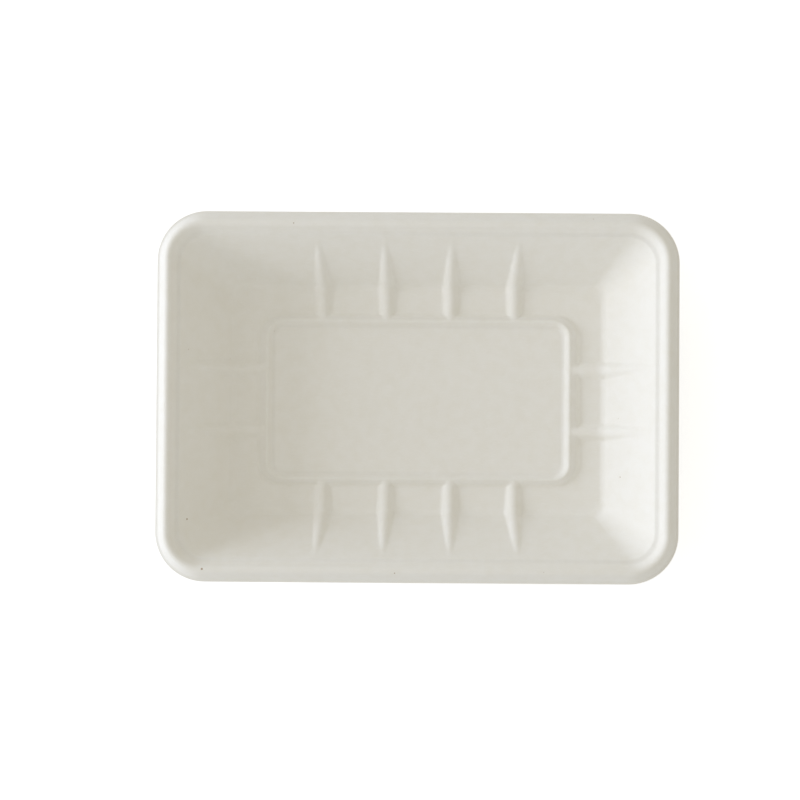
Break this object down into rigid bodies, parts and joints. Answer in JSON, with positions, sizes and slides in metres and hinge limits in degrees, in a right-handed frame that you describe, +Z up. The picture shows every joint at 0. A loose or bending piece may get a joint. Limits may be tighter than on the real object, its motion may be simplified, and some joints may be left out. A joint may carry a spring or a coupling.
{
  "type": "moulded pulp meat tray",
  "caption": "Rectangular moulded-pulp food tray with an arched rim, sloping ribbed walls and a beaded floor panel.",
  "frame": {"origin": "centre of the middle panel's underside, on which the tray stands", "axes": "+X along the tray's length, +Y along its width, +Z up out of the open top"},
  "size_m": [0.21, 0.149, 0.0276],
  "materials": {
    "pulp": "matt, pressed and dried on a mould"
  },
  "bodies": {
    "root": {"tray": "pulp"}
  },
  "joints": []
}
